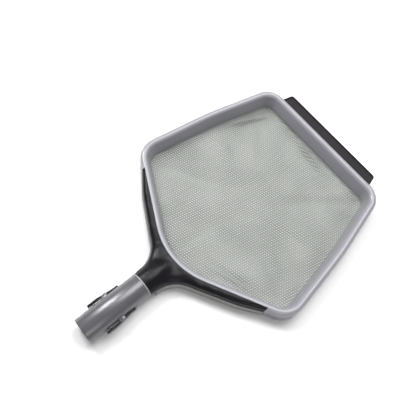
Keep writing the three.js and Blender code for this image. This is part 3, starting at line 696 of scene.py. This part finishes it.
def yoke_top():
    form = plate("yoke_top_shell", corner_line("yoke_line", yoke_corners(), smoothness=12),
                 PARTING - 12 * MM, YOKE_ROOF + 0.1 * MM, 6 * MM, 6)
    start = NECK_Y + CONE_LENGTH
    neck = rod("neck", TUBE_RADIUS, (0, NECK_Y - 12 * MM, AXIS_Z), (0, start, AXIS_Z), 72)
    cone = rod("cone", TUBE_RADIUS, (0, start - 0.01 * MM, AXIS_Z),
               (0, start + CONE_LENGTH, AXIS_Z), 72, 10.3 * MM)
    square = bar("square", (-WIDE, NECK_Y - 60 * MM, UNDER), (WIDE, NECK_Y + 4 * MM, OVER))
    cut(form, square)
    cut(form, neck, "UNION")
    cut(form, cone, "UNION")
    soften(form, 1.1 * MM, 220, near_neck)
    trim_yoke(form, PARTING, 0.05)
    smooth(form, 40)
    return put(form, yoke_black, "skimmer", "black_plastic", "yoke_top")


def yoke_base():
    outline = corner_line("yoke_line", yoke_corners(), -YOKE_DROP, smoothness=12)
    form = plate("yoke_base_shell", outline, 0.0, PARTING + 8 * MM, 1.2 * MM, 3)
    square = bar("square", (-WIDE, NECK_Y - 60 * MM, UNDER), (WIDE, NECK_Y + 8 * MM, OVER))
    cut(form, square)
    trim_yoke(form, -0.001, PARTING - GAP)
    neck = rod("neck", TUBE_RADIUS, (0, NECK_Y, AXIS_Z), (0, NECK_Y + 20 * MM, AXIS_Z), 96)
    upper = bar("upper", (-WIDE, NECK_Y - WIDE, PARTING - GAP), (WIDE, NECK_Y + WIDE, OVER))
    cut(neck, upper)
    cut(form, neck, "UNION")
    for place in SCREW_PLACES["yoke"]:
        cut(form, well(place, 3.0 * MM, 28))
    smooth(form, 40)
    # The base's colour holds a painted reflection as well as its own dark grey.
    return put(form, base_grey_and_painted_reflection, "skimmer", "charcoal_plastic", "yoke_base")


# ------------------------------------------------------------ handle

PIN_LOW, PIN_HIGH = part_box("lever_pin_right")
PIVOT = (PIN_LOW + PIN_HIGH) / 2
BORE_RADIUS, BORE_DEPTH = 16.2 * MM, 84 * MM
SLOT_HALF_WIDTH = 4.3 * MM      # of the flat floor and the window that a lever lies in
FLOOR_DEPTH = 1.3 * MM
FLOOR_BEHIND, FLOOR_AHEAD = 26 * MM, 24.5 * MM      # either way from the pin
WINDOW_START, WINDOW_END = 16.75 * MM, 23.25 * MM   # ahead of the pin; the nub goes through
EAR_ROOT, EAR_PROUD = 14.0 * MM, 2.2 * MM           # from the axis, and past the pin
EAR_HALF_LENGTH, EAR_THICKNESS, EAR_ROUNDING = 4.4 * MM, 2.2 * MM, 2.1 * MM

# The lever's faces, from the handle's axis, and its reach from the pin.
ARM_FACE, PAD_FACE, PAD_TOP = 17.65 * MM, 20.2 * MM, 22.95 * MM
PAD_REACH, NUB_REACH = 25 * MM, 22.25 * MM
GROOVES, GROOVE_PITCH = 6, 2.3


def beside(name, side, x0, x1, y0, y1, z0, z1):
    """A bar on one side of the handle, from x0 out to x1."""
    return bar(name, (min(side * x0, side * x1), y0, min(z0, z1)),
               (max(side * x0, side * x1), y1, max(z0, z1)))


def handle():
    front = collar_low.y - GAP
    tube = rod("handle_shell", TUBE_RADIUS, (0, TUBE_END, AXIS_Z), (0, front, AXIS_Z), 112)
    cut(tube, rod("bore", BORE_RADIUS, (0, TUBE_END - MM, AXIS_Z),
                  (0, TUBE_END + BORE_DEPTH, AXIS_Z), 112))
    for side in (1, -1):
        for up in (1, -1):
            z0 = AXIS_Z + up * SLOT_HALF_WIDTH
            ear = beside("ear", side, EAR_ROOT, PIVOT.x + EAR_PROUD, PIVOT.y - EAR_HALF_LENGTH,
                         PIVOT.y + EAR_HALF_LENGTH, z0, z0 + up * EAR_THICKNESS)
            edit(ear, "EDGE")
            select_where(ear, lambda middle, along:
                         abs(middle.x) > 0.019 and abs(along.z) > 0.5 * MM)
            bpy.ops.mesh.bevel(offset=EAR_ROUNDING, segments=5)
            done()
            clear = rod("clear", 17 * MM, (0, PIVOT.y - 0.02, AXIS_Z),
                        (0, PIVOT.y + 0.02, AXIS_Z), 112)
            cut(ear, clear)
            cut(tube, ear, "UNION")
    low, high = AXIS_Z - SLOT_HALF_WIDTH, AXIS_Z + SLOT_HALF_WIDTH
    for side in (1, -1):
        cut(tube, beside("floor_cut", side, TUBE_RADIUS - FLOOR_DEPTH, 0.03,
                         PIVOT.y - FLOOR_BEHIND, PIVOT.y + FLOOR_AHEAD, low, high))
        cut(tube, beside("window", side, 0.010, 0.018,
                         PIVOT.y + WINDOW_START, PIVOT.y + WINDOW_END, low, high))
    ease(tube, 0.45 * MM, 2, 40)
    smooth(tube, 30)
    return put(tube, handle_grey, "skimmer", "handle_plastic", "handle_tube")


def collar():
    ring = rod("collar_ring", TUBE_RADIUS - 0.02 * MM,
               (0, collar_low.y, AXIS_Z), (0, collar_high.y, AXIS_Z), 112)
    cut(ring, rod("collar_hole", 15.8 * MM,
                  (0, collar_low.y - MM, AXIS_Z), (0, collar_high.y + MM, AXIS_Z), 112))
    ease(ring, 0.3 * MM, 2, 40)
    smooth(ring, 30)
    return put(ring, collar_pale, "skimmer", "pale_plastic", "neck_collar")


def lever(side):
    """A rocker: thumb pad with grip ribs, barrel on the pin, and the nub that locks the pole."""
    low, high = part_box("lever_right")
    px, py = PIVOT.x, PIVOT.y
    corners = [
        (low.x, py + NUB_REACH, 0.6 * MM), (low.x, py + 18.6 * MM, 1.0 * MM),
        (ARM_FACE, py + 17.6 * MM, 0.3 * MM), (ARM_FACE, py + 1.5 * MM, 0.3 * MM),
        (ARM_FACE, py - 1.2 * MM, 0.5 * MM), (PAD_FACE, py - 3.6 * MM, 1.5 * MM),
        (PAD_FACE, py - PAD_REACH, 0.5 * MM), (PAD_TOP, py - PAD_REACH, 0.9 * MM),
        (23.3 * MM, py - 12 * MM, 30 * MM), (22.05 * MM, py, 20 * MM),
        (20.4 * MM, py + 14 * MM, 12 * MM), (20.4 * MM, py + NUB_REACH, 1.0 * MM),
    ]
    body = plate("lever_shell", corner_line("lever_line", corners, smoothness=8),
                 AXIS_Z - 4 * MM, AXIS_Z + 4 * MM, 0.3 * MM, 2)
    cut(body, rod("pin_hole", 1.4 * MM, (px, py, AXIS_Z - 0.01), (px, py, AXIS_Z + 0.01), 32))
    for i in range(GROOVES):
        x, y = 23.32 * MM - i * 0.03 * MM, py - (8.5 + i * GROOVE_PITCH) * MM
        cut(body, rod("groove", 0.5 * MM, (x, y, AXIS_Z - 0.01), (x, y, AXIS_Z + 0.01), 12))
    if side < 0:
        edit(body)
        bpy.ops.mesh.select_all(action="SELECT")
        bpy.ops.transform.resize(value=(-1, 1, 1), center_override=(0, 0, 0))
        bpy.ops.mesh.normals_make_consistent(inside=False)
        done()
    name = "right" if side > 0 else "left"
    body.name = f"lever_{name}_shell"
    smooth(body, 35)
    return put(body, lever_black, f"lever_{name}", "black_plastic", f"lever_{name}")


def pin(side):
    name = "right" if side > 0 else "left"
    low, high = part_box(f"lever_pin_{name}")
    middle = (low + high) / 2
    body = rod(f"lever_pin_{name}_turned", 1.1 * MM,
               (middle.x, middle.y, low.z), (middle.x, middle.y, high.z), 32)
    ease(body, 0.3 * MM, 2, 40)
    smooth(body, 30)
    return put(body, pin_steel, "skimmer", "steel", f"lever_pin_{name}")


def spring(side):
    """A coil of round wire with closed ends, standing between the recess floor and the pad."""
    name = "right" if side > 0 else "left"
    low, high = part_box(f"lever_spring_{name}")
    middle = (low + high) / 2
    curve = bpy.data.curves.new("coil", "CURVE")
    curve.dimensions = "3D"
    spline = curve.splines.new("POLY")
    turns, steps = 4.0, 96
    wire, coil_radius = 0.25 * MM, 1.9 * MM
    spline.points.add(steps)
    span = high.x - low.x - 0.5 * MM
    for i, point in enumerate(spline.points):
        t = i / steps
        climb = max(0.0, min(1.0, (t * turns - 0.5) / (turns - 1.0)))
        angle = 2 * math.pi * turns * t
        point.co = (low.x + wire + span * climb, middle.y + coil_radius * math.cos(angle),
                    AXIS_Z + coil_radius * math.sin(angle), 1)
    curve.bevel_depth = wire
    curve.bevel_resolution = 2
    curve.use_fill_caps = True
    coil = bpy.data.objects.new(f"lever_spring_{name}_coil", curve)
    bpy.context.collection.objects.link(coil)
    pick(coil)
    bpy.ops.object.convert(target="MESH")
    mend(settle(coil))
    smooth(coil, 60)
    put(coil, screw_steel, "skimmer", "steel", f"lever_spring_{name}")
    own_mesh(coil)
    return coil


# ------------------------------------------------------------ screws

def head_place(node, axis):
    """The middle of a screw's head: its foremost end along y, its lowest along z."""
    low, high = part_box(node)
    middle = (low + high) / 2
    if axis == "y":
        return Vector((middle.x, high.y, middle.z))
    return Vector((middle.x, middle.y, low.z))


DRIVE_TURN = 37                 # degrees from one screw's drive to the next

SCREW_NODES = {
    "ring": [f"ring_screw_{i}" for i in range(1, 13)],
    "blade": [f"blade_screw_{i}" for i in range(1, 6)],
    "yoke": [f"yoke_screw_{i}" for i in range(1, 5)] + ["handle_screw_1", "handle_screw_2"],
}
SCREW_PLACES = {kind: [head_place(n, "y" if kind == "blade" else "z") for n in nodes]
                for kind, nodes in SCREW_NODES.items()}
# Head radius, head height and shank radius, in millimetres.
SCREW_HEADS = {"ring": (2.1, 1.6, 1.4), "blade": (2.9, 1.5, 1.5), "yoke": (2.7, 1.8, 1.5)}


def screw_pattern(kind, length):
    """A pan head with a hex drive and a plain shank, head down at the origin."""
    head, tall, shank = [v * MM for v in SCREW_HEADS[kind]]
    body = rod(f"{kind}_screw", head, (0, 0, 0), (0, 0, tall), 28)
    edit(body, "FACE")
    select_where(body, lambda middle, normal: normal.z < -0.9)
    bpy.ops.mesh.bevel(offset=0.45 * MM, segments=3, affect="EDGES")
    done()
    cut(body, rod("drive", head * 0.45, (0, 0, -MM), (0, 0, tall * 0.6), 6))
    stem = rod("stem", shank, (0, 0, tall * 0.8), (0, 0, length - shank * 0.6), 20)
    point = rod("point", shank, (0, 0, length - shank * 0.61), (0, 0, length), 20, shank * 0.25)
    cut(body, stem, "UNION")
    cut(body, point, "UNION")
    return smooth(body, 35)


def screws():
    for kind, nodes in SCREW_NODES.items():
        low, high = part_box(nodes[0])
        length = (high.y - low.y) if kind == "blade" else (high.z - low.z)
        pattern = screw_pattern(kind, length)
        if kind == "blade":
            edit(pattern)
            bpy.ops.mesh.select_all(action="SELECT")
            bpy.ops.transform.rotate(value=math.radians(-90), orient_axis="X",
                                     center_override=(0, 0, 0))
            done()
        for node, place in zip(nodes, SCREW_PLACES[kind]):
            copy = bpy.data.objects.new(node + "_made", pattern.data.copy())
            bpy.context.collection.objects.link(copy)
            copy.location = place
            settle(copy)
            edit(copy)
            bpy.ops.mesh.select_all(action="SELECT")
            bpy.ops.transform.rotate(
                value=math.radians(DRIVE_TURN * (len(node) + int(node[-1]))),
                orient_axis="Y" if kind == "blade" else "Z", center_override=place)
            done()
            put(copy, screw_steel, "skimmer", "steel", node)
        bpy.data.objects.remove(pattern)


# ------------------------------------------------------------ all the pieces

def flat_area(inset):
    """The area inside the frame's outline moved inwards by inset."""
    line = corner_line("measure", frame_corners(), inset)
    line.data.fill_mode = "BOTH"
    pick(line)
    bpy.ops.object.convert(target="MESH")
    area = sum(p.area for p in line.data.polygons)
    bpy.data.objects.remove(line)
    return area


NET_AREA = flat_area(NET_INSET)

rim()
clamp_ring()
net()
blade()
retainer()
yoke_top()
yoke_base()
handle()
collar()
for side in (1, -1):
    lever(side)
    pin(side)
    spring(side)
screws()


# ------------------------------------------------------------ floor, light and camera

def floor():
    deselect_all()
    bpy.ops.mesh.primitive_plane_add(size=7, location=(0, 0, -0.0002))
    ground = bpy.context.object
    ground.name = "floor"
    white = bpy.data.materials.new("floor_white")
    white.use_nodes = True
    shader = white.node_tree.nodes["Principled BSDF"]
    shader.inputs["Base Color"].default_value = (0.92, 0.92, 0.92, 1)
    shader.inputs["Roughness"].default_value = 0.9
    shader.inputs["Specular IOR Level"].default_value = 0.1
    ground.data.materials.append(white)


def softbox(name, place, aim, size, power):
    light = bpy.data.lights.new(name, "AREA")
    light.shape = "RECTANGLE"
    light.size, light.size_y = size
    light.energy = power
    obj = bpy.data.objects.new(name, light)
    bpy.context.collection.objects.link(obj)
    obj.location = place
    obj.rotation_euler = (Vector(aim) - Vector(place)).to_track_quat("-Z", "Y").to_euler()


CAMERA_PLACE = (0.14512, -0.25880, 0.75554)
CAMERA_TURN = (23.046, -5.756, 49.392)      # degrees
CAMERA_LENS = 50.4
WORLD_LIGHT = 0.26

floor()
softbox("key", place=(-1.25, -0.05, 1.35), aim=(0, 0.03, 0), size=(0.4, 0.9), power=27)
softbox("top", place=(-0.3, 0.9, 2.0), aim=(0, 0.03, 0), size=(1.3, 1.3), power=41)
softbox("fill", place=(1.6, -0.9, 1.3), aim=(0, 0, 0), size=(1.0, 1.0), power=8)
world = bpy.data.worlds.new("studio")
world.use_nodes = True
world.node_tree.nodes["Background"].inputs["Color"].default_value = (1, 1, 1, 1)
world.node_tree.nodes["Background"].inputs["Strength"].default_value = WORLD_LIGHT
bpy.context.scene.world = world
bpy.context.scene.view_settings.view_transform = "Standard"

camera = bpy.data.cameras.new("camera")
camera.lens = CAMERA_LENS
camera.sensor_width = 36
camera.clip_start = 0.01
eye = bpy.data.objects.new("camera", camera)
bpy.context.collection.objects.link(eye)
eye.location = CAMERA_PLACE
eye.rotation_euler = [math.radians(a) for a in CAMERA_TURN]
bpy.context.scene.camera = eye
